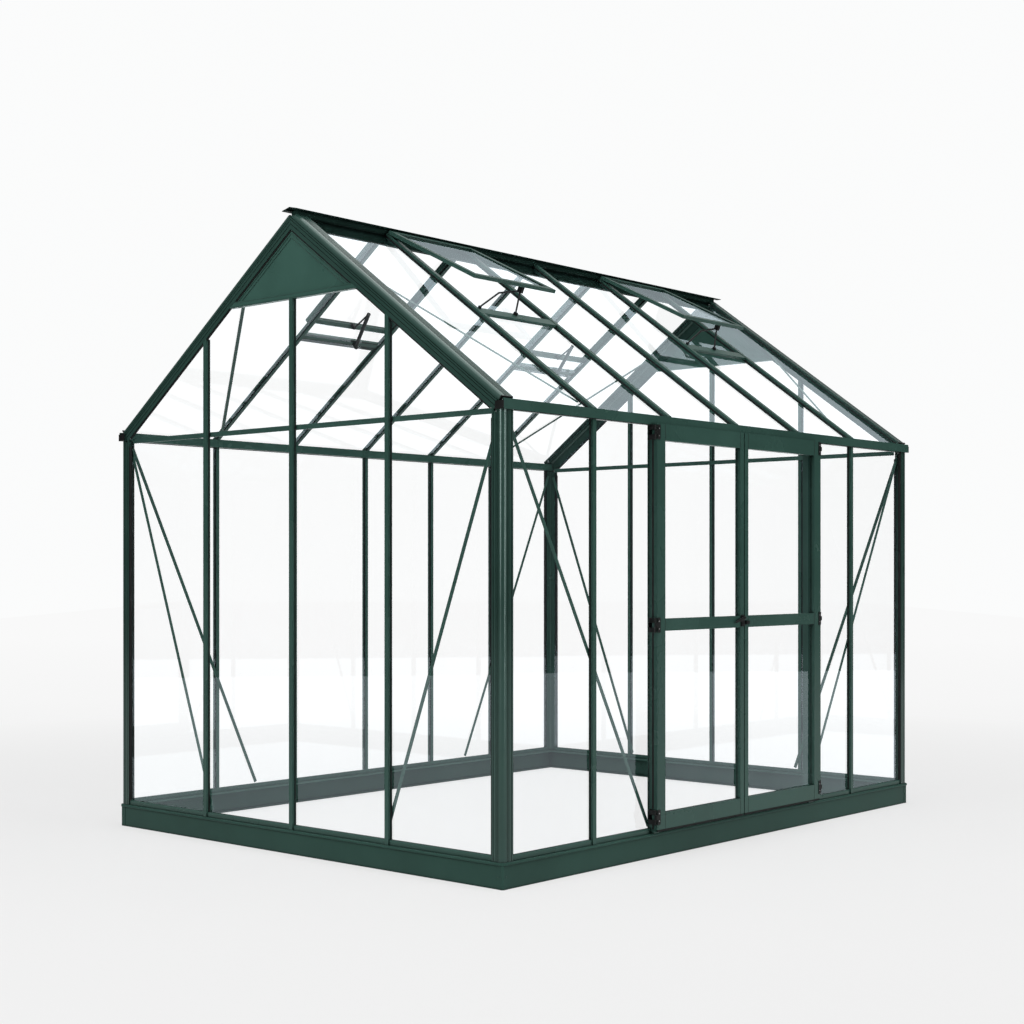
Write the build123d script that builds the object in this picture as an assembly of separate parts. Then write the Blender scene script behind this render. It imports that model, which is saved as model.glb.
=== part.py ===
"""Glass greenhouse: aluminium frame on a low base, 6 bays long and 4 bays wide.

Millimetres, +Z up. The long side with the double doors faces -Y. The ridge runs along X.
Pieces are drawn about the middle of the base, then moved back as they are saved so that
the origin is on the ground at the middle of the whole object, doors and handle included.
"""
from build123d import *
from math import cos, radians, sin, tan
import os

# ---------------------------------------------------------------- driving dimensions
SIDE_BAYS = 6            # bays along X
GABLE_BAYS = 4           # bays along Y
SIDE_BAY = 556.0         # bar to bar along the side
GABLE_BAY = 634.0        # bar to bar across the gable
WALL_OUT = 50.0          # wall faces outside the end bar lines
ROOF_PITCH = 36.0        # degrees
ROOF_SINK = 1.8          # roof plane below the gutter's top at its outer face
GUTTER_BOTTOM = 1982.0
GUTTER_HEIGHT = 44.0
GUTTER_DEPTH = 45.0
GUTTER_WALL = 3.0
GUTTER_REACH = 10.0      # outside the wall face and past the gable
GUTTER_CAP = 5.0         # plastic end cap
GUTTER_CAP_HEIGHT = 34.0

BASE_WEB = 100.0         # height of the upright web
BASE_RAIL = 12.0         # rounded top rail on the web
BASE_WALL = 4.0
BASE_LIP = 10.0          # top rail outside the web
BASE_FLANGE = 82.0       # top flange inside the web
BASE_FOOT = 44.0         # bottom flange
WEB_CUT = 6.0            # 45 degree corner cuts, legs measured from the web's corner
RAIL_CUT = 2.0
COVER_FRONT = 28.0       # corner cover legs
COVER_GABLE = 34.0
COVER_THICK = 1.5

SILL_HEIGHT = 23.0
SILL_BACK = 6.0          # sill behind the wall face
POST_SIZE = 63.0         # corner posts and rafters share one kind of fluted section
POST_ROUND = 22.0
POST_FILLET = 8.0
GROOVES = ((26.0, 29.0), (36.0, 39.0), (52.0, 55.0))   # from and to, along each leg
GROOVE_DEPTH = 4.0
RAFTER_DEPTH = 73.0
RAFTER_WIDTH = 73.0
RAFTER_SHORT = 20.0      # rafter end inside the gutter's outer face
ROOF_BAR_SHORT = 8.0
RAFTER_CAP = 5.0

BAR_WIDTH = 24.0
BAR_DEPTH = 26.0
BAR_STEM = 8.0
BAR_FOOT = 20.0
BAR_FOOT_THICK = 4.0
GLASS = 4.0
GLASS_GAP = 0.3
GLASS_PLAY = 1.0         # room for the pane between a bar's cap and foot
GLASS_TUCK = 8.0         # panes run this far behind the posts and rafters

RIDGE_WEB = 30.0
RIDGE_DEPTH = 77.0       # web's foot below the apex
RIDGE_HEAD = 50.0        # width of the boxed head
RIDGE_HEAD_DROP = 30.0   # head's underside below the apex
RIDGE_HEAD_BACK = 28.0   # head's ends inside the gables' outer faces
RIDGE_RISE = 11.0        # top of the cap above the apex
RIDGE_WINGS = 104.0      # over both wings
RIDGE_WING_DROP = 12.0   # wing tips below the cap's top
RIDGE_CAP_PAST = 8.0     # cap past the gables' outer faces
RIDGE_SHEET = 3.0

TIE_HEIGHT = 24.0
TIE_THICK = 6.0
TIE_BELOW = 34.0         # top of the tie below the gutter's top
PANEL_RAIL_BELOW = 413.0  # underside of the panel's rail below the apex
PANEL_RAIL_HEIGHT = 26.0
PANEL_BACK = 6.0
PANEL_THICK = 3.0

BRACE_WIDTH = 18.0
BRACE_THICK = 3.0
BRACE_BACK_X = 850.0     # feet of the back wall's braces
BRACE_GABLE_IN = 30.0    # feet of the gables' braces inside the outer bars' lines

VENT_LENGTH = 637.0      # down the slope
VENT_EXTRA = 30.0        # wider than the bay
VENT_FRAME = 30.0
VENT_THICK = 18.0
VENT_START = 48.0        # hinge edge down the slope from the ridge line
VENT_LIFT = 0.3          # closed frame above the bars
VENT_OPEN = 9.8          # degrees, front vents
VENT_SILL_BELOW = 65.0   # cross bar below the closed vent's foot
VENT_SILL_WIDTH = 54.0
VENT_SILL_DROP = 2.0     # below the bars' outer faces
VENT_LAP = 20.0          # closed vent over the pane below it
SILL_TUCK_UPPER = 8.0    # panes behind the cross bar's upper and lower edges
SILL_TUCK_LOWER = 22.0
OPENER_FRONT = 60.0      # vent bracket from the vent's middle, along X
OPENER_BACK = 94.0
OPENER_TUBE = 10.0       # radius of the cylinder
OPENER_ROD = 4.5         # radius of the rods
OPENER_CLIP = 16.0       # brackets' width

DOOR_WIDTH = 1424.0      # both leaves and the gap between them
DOOR_BOTTOM = 134.0
DOOR_OVER = 4.0          # door's top above the gutter's underside
DOOR_DRIP = 10.0         # drip strip below the leaf
DOOR_DRIP_THICK = 12.0
DOOR_THICK = 30.0
DOOR_GAP = 6.0
DOOR_STAND_OFF = 5.0     # leaf back face outside the gutter face
DOOR_GLASS_BACK = 19.0   # glass behind the leaf's front face
STILE = 62.0
MEETING_STILE = 32.0
TOP_RAIL = 77.0
MID_RAIL = 56.0
MID_RAIL_Z = 1067.0
BOTTOM_RAIL = 74.0
DOOR_LAP = 20.0          # leaf past the jamb's outer side
JAMB_WIDTH = 40.0
JAMB_CLEAR = 5.0
THRESHOLD_HEIGHT = 16.0
HINGE_HEIGHT = 67.0
HINGE_PIN = 1.8
HINGE_KNUCKLE = 4.5
HINGE_SIDE = 6.0         # pin line outside the leaf's edge
HINGE_BACK = 6.0         # pin line behind the leaf's front face
HINGE_CLEAR = 0.3
HINGE_PLATE = 2.5
HINGE_LEAF = 22.0        # plate on the stile's front
HINGE_INSET_TOP = 6.0
HINGE_INSET_BOTTOM = 24.0
LATCH_PROUD = 6.0
LATCH_WIDTH = 26.0
LATCH_FOOT = 22.0        # below the middle of the mid rail
KEEPER_PROUD = 10.0
KEEPER_WIDTH = 28.0
KEEPER_HEIGHT = 16.0
LEVER_GAP = 5.0          # lever in front of the latch body
LEVER_THICK = 8.0
LEVER_DEPTH = 14.0
LEVER_LENGTH = 84.0
LEVER_DROP = 14.7        # degrees below level, at rest
LEVER_X = -17.0          # pivot
LEVER_UP = 19.0          # above the middle of the mid rail
LEVER_TAIL = 10.0
SPINDLE = 6.0            # radius

# ---------------------------------------------------------------- derived places
POST_X = SIDE_BAYS * SIDE_BAY / 2
POST_Y = GABLE_BAYS * GABLE_BAY / 2
WALL_X = POST_X + WALL_OUT               # outer faces of the walls and the base web
WALL_Y = POST_Y + WALL_OUT
CLEAR_X = WALL_X - POST_SIZE             # inner sides of the corner posts
CLEAR_Y = WALL_Y - POST_SIZE
BASE_TOP = BASE_WEB + BASE_RAIL
SILL_TOP = BASE_TOP + SILL_HEIGHT
BRACE_GABLE_Y = GABLE_BAY - BRACE_GABLE_IN
GUTTER_TOP = GUTTER_BOTTOM + GUTTER_HEIGHT
GUTTER_OUT = WALL_Y + GUTTER_REACH
GUTTER_IN = GUTTER_OUT - GUTTER_DEPTH
GUTTER_HALF = WALL_X + GUTTER_REACH - GUTTER_CAP
SLOPE_COS = cos(radians(ROOF_PITCH))
SLOPE_SIN = sin(radians(ROOF_PITCH))
SLOPE_TAN = tan(radians(ROOF_PITCH))
APEX_Z = GUTTER_TOP + GUTTER_OUT * SLOPE_TAN - ROOF_SINK   # where the two roof planes meet
RIDGE_HEAD_BOTTOM = APEX_Z - RIDGE_HEAD_DROP
TIE_TOP = GUTTER_TOP - TIE_BELOW
PANEL_RAIL_BOTTOM = APEX_Z - PANEL_RAIL_BELOW
DOOR_TOP = GUTTER_BOTTOM + DOOR_OVER
DOOR_BACK_Y = -(GUTTER_OUT + DOOR_STAND_OFF)
DOOR_FRONT_Y = DOOR_BACK_Y - DOOR_THICK
DOOR_HALF = DOOR_WIDTH / 2
JAMB_OUT_X = DOOR_HALF - DOOR_LAP
JAMB_IN_X = JAMB_OUT_X - JAMB_WIDTH
HINGE_X = DOOR_HALF + HINGE_SIDE
HINGE_Y = DOOR_FRONT_Y + HINGE_BACK
LEVER_Z = MID_RAIL_Z + LEVER_UP
LEVER_BACK_Y = DOOR_FRONT_Y - LATCH_PROUD - LEVER_GAP
LEVER_FRONT_Y = LEVER_BACK_Y - LEVER_THICK
BAR_CAP = BAR_DEPTH - BAR_FOOT_THICK - GLASS - GLASS_PLAY   # boxed cap outside the glass
POST_WALL = BAR_CAP - 1.0
VENT_FOOT = VENT_START + VENT_LENGTH
VENT_SILL_START = VENT_FOOT + VENT_SILL_BELOW
FRONT_BARS = (1, SIDE_BAYS - 1)
VENT_BAYS = (1, SIDE_BAYS - 2)           # bays counted from 0 at -X
ORIGIN_SHIFT = (-LEVER_FRONT_Y - WALL_Y - BASE_LIP) / 2

FRONT_SLOPE = Plane(origin=(0, 0, APEX_Z), x_dir=(1, 0, 0), z_dir=(0, -SLOPE_COS, -SLOPE_SIN))


def side_x(index):
    """X of a bar line along the side, 0 at the -X post."""
    return -POST_X + index * SIDE_BAY


def gable_y(index):
    """Y of a bar line across the gable, 0 at the -Y post."""
    return -POST_Y + index * GABLE_BAY


def roof_z(y, under=0.0):
    """Height of the roof plane at y, or of a plane that lies square under it."""
    return APEX_Z - abs(y) * SLOPE_TAN - under / SLOPE_COS


def slope_length(y, under=0.0):
    """Distance down the slope to y, on a plane that lies under the roof plane."""
    return (abs(y) + under * SLOPE_SIN) / SLOPE_COS


def face_of(points):
    return make_face(Polyline(*points, close=True))


def along_x(points, x0, x1):
    """Prism along X from (y, z) points."""
    return extrude(Plane(origin=(x0, 0, 0), x_dir=(0, 1, 0), z_dir=(1, 0, 0)) * face_of(points), x1 - x0)


def along_y(points, y0, y1):
    """Prism along Y from (x, z) points."""
    return extrude(Plane(origin=(0, y1, 0), x_dir=(1, 0, 0), z_dir=(0, -1, 0)) * face_of(points), y1 - y0)


def along_z(points, z0, z1):
    return extrude(Plane(origin=(0, 0, z0)) * face_of(points), z1 - z0)


def block(x0, x1, y0, y1, z0, z1):
    centre = ((x0 + x1) / 2, (y0 + y1) / 2, (z0 + z1) / 2)
    return Pos(*centre) * Box(abs(x1 - x0), abs(y1 - y0), abs(z1 - z0))


def flip_x(shape):
    return mirror(shape, about=Plane.YZ)


def flip_y(shape):
    return mirror(shape, about=Plane.XZ)


def mitre_x(reach=200.0):
    """Plan wedge of the front side, for rails mitred at the base corners."""
    return along_z([(-WALL_X - reach, -WALL_Y - reach), (WALL_X + reach, -WALL_Y - reach),
                    (WALL_X - reach, -WALL_Y + reach), (-WALL_X + reach, -WALL_Y + reach)], 0, SILL_TOP)


def mitre_y(reach=200.0):
    """Plan wedge of the -X side."""
    return along_z([(-WALL_X - reach, -WALL_Y - reach), (-WALL_X + reach, -WALL_Y + reach),
                    (-WALL_X + reach, WALL_Y - reach), (-WALL_X - reach, WALL_Y + reach)], 0, SILL_TOP)


# ---------------------------------------------------------------- base and sills
def corner_cut(leg, z0, z1, reach=60.0):
    """Prism outside a 45 degree cut across the -X, -Y corner."""
    return along_z([(-WALL_X - reach, -WALL_Y - reach), (-WALL_X + leg + reach, -WALL_Y - reach),
                    (-WALL_X - reach, -WALL_Y + leg + reach)], z0, z1)


def base_section(face):
    """Rail section as (outward distance, z): web, rounded top rail, inner flange and foot."""
    top, lip = BASE_TOP, face + BASE_LIP
    inner, foot = face - BASE_FLANGE, face - BASE_FOOT
    web = face - BASE_WALL
    return [(face, 0), (face, BASE_WEB), (lip - 2, BASE_WEB), (lip, BASE_WEB + 2), (lip, top - 5),
            (lip - 1.5, top - 1.5), (lip - 5, top), (inner, top), (inner, top - BASE_WALL),
            (web, top - BASE_WALL), (web, BASE_WALL), (foot, BASE_WALL), (foot, 0)]


def base_rails():
    front = along_x([(-out, z) for out, z in base_section(WALL_Y)], -WALL_X - 60, WALL_X + 60) & mitre_x()
    left = along_y([(-out, z) for out, z in base_section(WALL_X)], -WALL_Y - 60, WALL_Y + 60) & mitre_y()
    cuts = corner_cut(WEB_CUT, 0, BASE_WEB) + corner_cut(RAIL_CUT, BASE_WEB, BASE_TOP)
    front = front - cuts - flip_x(cuts)
    return front, left - cuts - flip_y(cuts)


def base_covers():
    """Folded covers over the base corners, below the top rail."""
    x, y, t = -WALL_X, -WALL_Y, COVER_THICK
    turn = WEB_CUT - t * tan(radians(22.5))
    points = [(x + COVER_FRONT, y - t), (x + COVER_FRONT, y), (x + WEB_CUT, y), (x, y + WEB_CUT),
              (x, y + COVER_GABLE), (x - t, y + COVER_GABLE), (x - t, y + turn), (x + turn, y - t)]
    cover = along_z(points, 0, BASE_WEB)
    return [cover, flip_x(cover), flip_y(cover), flip_x(flip_y(cover))]


def sill_section(face):
    """Glass sill between the bars' caps and the inside, sloped at its outer edge."""
    outer, inner = face - SILL_BACK, face - BAR_DEPTH
    return [(outer, BASE_TOP), (outer, SILL_TOP - 4), (outer - 3, SILL_TOP), (inner, SILL_TOP),
            (inner, BASE_TOP)]


def sills():
    section = sill_section(WALL_Y)
    front = along_x([(-out, z) for out, z in section], -CLEAR_X, -JAMB_OUT_X)
    back = along_x([(out, z) for out, z in section], -CLEAR_X, CLEAR_X)
    left = along_y([(-out, z) for out, z in sill_section(WALL_X)], -CLEAR_Y, CLEAR_Y)
    return [front, flip_x(front), back, left, flip_x(left)]


# ---------------------------------------------------------------- posts and wall bars
def grooved_leg(length):
    """Outline of one leg's outer face as (along, inward), from the rounded corner to the leg's end."""
    points = [(POST_ROUND, 0)]
    for start, end in GROOVES:
        points += [(start, 0), (start, GROOVE_DEPTH), (end, GROOVE_DEPTH), (end, 0)]
    return points + [(length, 0)]


def fluted_section(size, depth):
    """Corner section with its outer corner at (0, 0): two grooved legs and a rounded corner."""
    x_leg = grooved_leg(size)
    y_leg = [(inward, along) for along, inward in grooved_leg(depth)]
    wall, fillet = POST_WALL, POST_WALL + POST_FILLET
    inside = [(size, wall), (fillet, wall), (wall, fillet), (wall, depth)]
    nose = POST_ROUND * (1 - cos(radians(45)))
    corner = ThreePointArc(y_leg[0], (nose, nose), x_leg[0])
    return make_face(Polyline(*x_leg, *inside, *y_leg[::-1]) + corner)


def corner_post():
    """Post at -X, -Y, cut under the gutter and, behind it, under the rafter."""
    section = Plane(origin=(-WALL_X, -WALL_Y, BASE_TOP)) * fluted_section(POST_SIZE, POST_SIZE)
    post = extrude(section, GUTTER_TOP - BASE_TOP)
    post -= block(-WALL_X - 50, -CLEAR_X + 50, -GUTTER_OUT - 50, -GUTTER_IN, GUTTER_BOTTOM, GUTTER_TOP + 50)
    behind = block(-WALL_X - 50, -CLEAR_X + 50, -GUTTER_IN, 0, 0, APEX_Z)
    return post - (over_rafters() & behind)


def bar_section():
    """Glazing bar as (across, inward): cap, stem and foot, outer face at inward 0."""
    cap, stem, foot = BAR_WIDTH / 2, BAR_STEM / 2, BAR_FOOT / 2
    neck = BAR_DEPTH - BAR_FOOT_THICK
    right = [(cap, 0), (cap, BAR_CAP), (stem, BAR_CAP), (stem, neck), (foot, neck), (foot, BAR_DEPTH)]
    return right + [(-across, inward) for across, inward in right[::-1]]


def side_bar(index):
    """Bar of the front wall, up to the gutter. Its cap runs down over the sill."""
    x = side_x(index)
    half = BAR_WIDTH / 2
    section = [(x + across, -WALL_Y + inward) for across, inward in bar_section()]
    bar = along_z(section, SILL_TOP, GUTTER_BOTTOM)
    return bar + block(x - half, x + half, -WALL_Y, -WALL_Y + SILL_BACK, BASE_TOP, SILL_TOP)


def gable_bar(index):
    """Bar of the -X gable, up to the rafter or the apex panel's rail."""
    y = gable_y(index)
    section = [(-WALL_X + inward, y + across) for across, inward in bar_section()]
    bar = along_z(section, SILL_TOP, APEX_Z)
    half = BAR_WIDTH / 2
    bar += block(-WALL_X, -WALL_X + SILL_BACK, y - half, y + half, BASE_TOP, SILL_TOP)
    if abs(y) < BAR_WIDTH:
        return bar - block(-WALL_X - 50, -WALL_X + 100, -200, 200, PANEL_RAIL_BOTTOM, APEX_Z + 100)
    return bar - over_rafters()


def over_rafters():
    """Everything above the rafters' underside, as one wedge along X."""
    far = GUTTER_OUT + 100
    eaves, apex = roof_z(far, RAFTER_DEPTH), roof_z(0, RAFTER_DEPTH)
    return along_x([(-far, eaves), (0, apex), (far, eaves), (far, APEX_Z + 300), (-far, APEX_Z + 300)],
                   -WALL_X - 100, WALL_X + 100)


def tie_bar():
    """Flat tie behind the gable bars at eaves height."""
    x0 = -WALL_X + BAR_DEPTH
    return block(x0, x0 + TIE_THICK, -CLEAR_Y, CLEAR_Y, TIE_TOP - TIE_HEIGHT, TIE_TOP)


# ---------------------------------------------------------------- gutters
def gutter():
    """Front gutter channel. Its inner wall's top follows the roof bars' underside."""
    out, inn, t = GUTTER_OUT, GUTTER_IN, GUTTER_WALL
    z0, z1 = GUTTER_BOTTOM, GUTTER_TOP
    points = [(-out, z0), (-inn, z0), (-inn, roof_z(inn, BAR_DEPTH)), (-inn - t, roof_z(inn + t, BAR_DEPTH)),
              (-inn - t, z0 + t), (-out + t, z0 + t), (-out + t, z1), (-out, z1)]
    return along_x(points, -GUTTER_HALF, GUTTER_HALF)


def gutter_cap():
    """Plastic cap that closes the -X end of the front gutter."""
    return block(-GUTTER_HALF - GUTTER_CAP, -GUTTER_HALF, -GUTTER_OUT, -GUTTER_IN, GUTTER_BOTTOM,
                 GUTTER_BOTTOM + GUTTER_CAP_HEIGHT)


# ---------------------------------------------------------------- roof
def on_slope(face, start, end):
    """Extrudes an (x, up) section down the front slope."""
    plane = FRONT_SLOPE.offset(start)
    return extrude(plane * face, end - start)


def rafter():
    """Fluted rafter over the -X gable's front half, notched over the gutter and under the ridge head."""
    section = Pos(-WALL_X, 0) * (Rot(0, 0, -90) * fluted_section(RAFTER_DEPTH, RAFTER_WIDTH))
    beam = on_slope(section, -60, slope_length(GUTTER_OUT - RAFTER_SHORT))
    beam -= block(-WALL_X - 50, 0, 0, 300, 0, APEX_Z + 200)
    beam -= block(-WALL_X - 50, 0, -RIDGE_HEAD / 2, 0, RIDGE_HEAD_BOTTOM, APEX_Z + 200)
    channel = -GUTTER_IN - GUTTER_WALL - 1
    beam -= block(-WALL_X - 50, 0, channel, -GUTTER_IN, 0, GUTTER_TOP)
    return beam - block(-WALL_X - 50, 0, -GUTTER_OUT - 200, channel, 0, GUTTER_BOTTOM + GUTTER_CAP_HEIGHT)


def rafter_cap():
    """Plastic cap on the rafter's lower end."""
    start = slope_length(GUTTER_OUT - RAFTER_SHORT)
    return slope_block(-WALL_X, RAFTER_WIDTH - WALL_X, -BAR_CAP, 0, start, start + RAFTER_CAP)


def roof_bar(index):
    """Roof bar of the front slope, from the ridge web to just inside the gutter lip."""
    x = side_x(index)
    section = face_of([(x + across, -inward) for across, inward in bar_section()])
    bar = on_slope(section, -60, slope_length(GUTTER_OUT) + 40)
    bar -= block(x - 60, x + 60, -RIDGE_WEB / 2, 300, 0, APEX_Z + 200)
    bar -= block(x - 60, x + 60, -RIDGE_HEAD / 2, 0, RIDGE_HEAD_BOTTOM, APEX_Z + 200)
    return bar - block(x - 60, x + 60, -GUTTER_OUT - 300, -GUTTER_OUT + ROOF_BAR_SHORT, 0, APEX_Z)


def ridge_bar():
    """Ridge: web between the rafters, a boxed head over them and a folded cap with open wings."""
    top, sheet = APEX_Z + RIDGE_RISE, RIDGE_SHEET
    tip, head = RIDGE_WINGS / 2, RIDGE_HEAD / 2
    tip_z, foot = top - RIDGE_WING_DROP, RIDGE_HEAD_BOTTOM
    web_end, head_end = WALL_X - RAFTER_WIDTH, WALL_X - RIDGE_HEAD_BACK
    cap_end = WALL_X + RIDGE_CAP_PAST
    ridge = block(-web_end, web_end, -RIDGE_WEB / 2, RIDGE_WEB / 2, APEX_Z - RIDGE_DEPTH, foot)
    edge = [(head, tip_z), (head, foot + 6), (head - 6, foot)]
    box = [(-y, z) for y, z in edge] + edge[::-1]
    ridge += along_x(box, -head_end, head_end)
    cap = [(0, top), (tip, tip_z), (tip, tip_z - sheet), (head - 4, tip_z - sheet), (head - 4, tip_z),
           (tip - 4 * sheet, tip_z), (0, top - sheet)]
    mirrored = [(-y, z) for y, z in cap[1:-1]]
    return ridge + along_x(cap + mirrored[::-1], -cap_end, cap_end)


# ---------------------------------------------------------------- apex panels
def apex_panel():
    """Solid panel in the -X gable's peak, with a rail along its foot."""
    half = (roof_z(0, RAFTER_DEPTH) - PANEL_RAIL_BOTTOM - PANEL_RAIL_HEIGHT) / SLOPE_TAN
    foot = PANEL_RAIL_BOTTOM + PANEL_RAIL_HEIGHT
    x0 = -WALL_X + PANEL_BACK
    panel = along_x([(-half, foot), (half, foot), (0, roof_z(0, RAFTER_DEPTH))], x0, x0 + PANEL_THICK)
    wide = (roof_z(0, RAFTER_DEPTH) - PANEL_RAIL_BOTTOM) / SLOPE_TAN
    rail = along_x([(-wide, PANEL_RAIL_BOTTOM), (wide, PANEL_RAIL_BOTTOM), (half, foot), (-half, foot)],
                   -WALL_X + 1, -WALL_X + BAR_DEPTH)
    return panel + rail


# ---------------------------------------------------------------- braces
def strap(start, end, normal):
    """Flat strap between two points, its thickness along the given normal."""
    a, b = Vector(*start), Vector(*end)
    run = b - a
    plane = Plane(origin=a, x_dir=Vector(*normal), z_dir=run.normalized())
    return extrude(plane * Rectangle(BRACE_THICK, BRACE_WIDTH), run.length)


def wall_braces():
    """Two straps on every wall, from the post tops to the foot of a bar or jamb."""
    inset = BAR_DEPTH + BRACE_THICK / 2
    y = -WALL_Y + inset
    x = -WALL_X + inset
    high, low = GUTTER_BOTTOM - 16, SILL_TOP + 10
    front = strap((-POST_X, y, high), (-JAMB_OUT_X + 6, y, low), (0, 1, 0))
    back = strap((-POST_X, -y, high - 20), (-BRACE_BACK_X, -y, low), (0, 1, 0))
    gable = strap((x, -POST_Y, high - 30), (x, -BRACE_GABLE_Y, low), (1, 0, 0))
    straps = []
    for piece in (front, back, gable, flip_y(gable)):
        straps += [piece, flip_x(piece)]
    return straps


def roof_braces():
    """One strap under each roof corner bay, from the gutter up to the rafter."""
    under = BAR_DEPTH + BRACE_THICK / 2

    def at(x, y):
        return (x, -y, roof_z(y, under))
    front = strap(at(side_x(1) - 16, CLEAR_Y - 20), at(-CLEAR_X + 16, 420), (0, -SLOPE_SIN, SLOPE_COS))
    straps = [front, flip_x(front)]
    return straps + [flip_y(piece) for piece in straps]


# ---------------------------------------------------------------- glass
def pane_x(x0, x1, z0, z1):
    """Pane of the front wall."""
    y0 = -WALL_Y + BAR_CAP + GLASS_GAP
    return block(x0, x1, y0, y0 + GLASS, z0, z1)


def side_panes(edges):
    """Panes between the given solid edges: (x0, x1) pairs."""
    return [pane_x(x0, x1, SILL_TOP, GUTTER_BOTTOM) for x0, x1 in edges]


def front_glass():
    stem = BAR_STEM / 2 + GLASS_GAP
    bar = side_x(1)
    panes = side_panes([(-CLEAR_X - GLASS_TUCK, bar - stem), (bar + stem, -JAMB_OUT_X - GLASS_GAP)])
    return panes + [flip_x(pane) for pane in panes]


def back_glass():
    stem = BAR_STEM / 2 + GLASS_GAP
    edges = []
    for i in range(SIDE_BAYS):
        x0 = -CLEAR_X - GLASS_TUCK if i == 0 else side_x(i) + stem
        x1 = CLEAR_X + GLASS_TUCK if i == SIDE_BAYS - 1 else side_x(i + 1) - stem
        edges.append((x0, x1))
    return [flip_y(pane) for pane in side_panes(edges)]


def gable_glass():
    """Panes of the -X gable, cut under the rafters and under the apex panel."""
    stem = BAR_STEM / 2 + GLASS_GAP
    x0 = -WALL_X + BAR_CAP + GLASS_GAP
    panes = []
    for i in range(GABLE_BAYS):
        y0 = -CLEAR_Y - GLASS_TUCK if i == 0 else gable_y(i) + stem
        y1 = CLEAR_Y + GLASS_TUCK if i == GABLE_BAYS - 1 else gable_y(i + 1) - stem
        pane = block(x0, x0 + GLASS, y0, y1, SILL_TOP, PANEL_RAIL_BOTTOM)
        panes.append(pane - over_rafters())
    return panes


def vent_span(bay):
    """X range of the vent over a bay."""
    centre = side_x(bay + 0.5)
    half = (SIDE_BAY + VENT_EXTRA) / 2
    return centre - half, centre + half


def slope_block(x0, x1, up0, up1, start, end):
    """Box in the front slope's own directions."""
    section = face_of([(x0, up0), (x1, up0), (x1, up1), (x0, up1)])
    return on_slope(section, start, end)


def roof_glass():
    """Panes of the front slope. A vent bay has one below the vent's foot and one below the cross bar."""
    stem = BAR_STEM / 2 + GLASS_GAP
    top = -BAR_CAP - GLASS_GAP
    end = slope_length(GUTTER_OUT - ROOF_BAR_SHORT - 3, BAR_CAP + GLASS)
    start_plain = slope_length(RIDGE_WEB / 2, BAR_CAP + GLASS) + GLASS_GAP
    start_vent = VENT_FOOT - VENT_LAP
    end_vent = VENT_SILL_START + SILL_TUCK_UPPER
    start_lower = VENT_SILL_START + VENT_SILL_WIDTH - SILL_TUCK_LOWER
    panes = []
    for i in range(SIDE_BAYS):
        x0 = -CLEAR_X - GLASS_TUCK if i == 0 else side_x(i) + stem
        x1 = CLEAR_X + GLASS_TUCK if i == SIDE_BAYS - 1 else side_x(i + 1) - stem
        start = start_lower if i in VENT_BAYS else start_plain
        panes.append(slope_block(x0, x1, top - GLASS, top, start, end))
        if i in VENT_BAYS:
            panes.append(slope_block(x0, x1, top - GLASS, top, start_vent, end_vent))
    return panes


# ---------------------------------------------------------------- roof vents
def vent_sill(bay):
    """Cross bar between the roof bars' caps, below the vent's foot."""
    half = BAR_WIDTH / 2
    x0, x1 = side_x(bay) + half, side_x(bay + 1) - half
    return slope_block(x0, x1, -BAR_CAP, -VENT_SILL_DROP, VENT_SILL_START, VENT_SILL_START + VENT_SILL_WIDTH)


def vent_ring(bay):
    x0, x1 = vent_span(bay)
    up0, up1 = VENT_LIFT, VENT_LIFT + VENT_THICK
    f = VENT_FRAME
    outer = slope_block(x0, x1, up0, up1, VENT_START, VENT_FOOT)
    return outer - slope_block(x0 + f, x1 - f, up0 - 1, up1 + 1, VENT_START + f, VENT_FOOT - f)


def vent_pane(bay):
    x0, x1 = vent_span(bay)
    side = VENT_FRAME + GLASS_GAP
    up0 = VENT_LIFT + VENT_THICK / 2
    return slope_block(x0 + side, x1 - side, up0, up0 + GLASS, VENT_START + side, VENT_FOOT - VENT_FRAME)


def opened(shape):
    """Turns a closed front vent piece up about its hinge edge at the ridge."""
    up = VENT_LIFT + VENT_THICK / 2
    hinge = FRONT_SLOPE.from_local_coords(Vector(0, up, VENT_START))
    return shape.rotate(Axis(hinge, (1, 0, 0)), -VENT_OPEN)


def slope_point(up, along, lift=0.0):
    """(y, z) of a point given in the front slope's directions, turned up about the vents' hinge edge."""
    hinge_up = VENT_LIFT + VENT_THICK / 2
    y = -VENT_START * SLOPE_COS - hinge_up * SLOPE_SIN
    z = APEX_Z - VENT_START * SLOPE_SIN + hinge_up * SLOPE_COS
    pitch = radians(ROOF_PITCH - lift)
    down, out = along - VENT_START, up - hinge_up
    return y - down * cos(pitch) - out * sin(pitch), z - down * sin(pitch) + out * cos(pitch)


def rod(radius, *points):
    """Round bar through points, with a ball at each bend."""
    ends = [Vector(*point) for point in points]
    bar = None
    for start, end in zip(ends[:-1], ends[1:]):
        run = end - start
        piece = extrude(Plane(origin=start, z_dir=run.normalized()) * Circle(radius), run.length)
        bar = bar + piece if bar else piece
    for bend in ends[1:-1]:
        bar += Pos(*bend) * Sphere(radius)
    return bar


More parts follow.
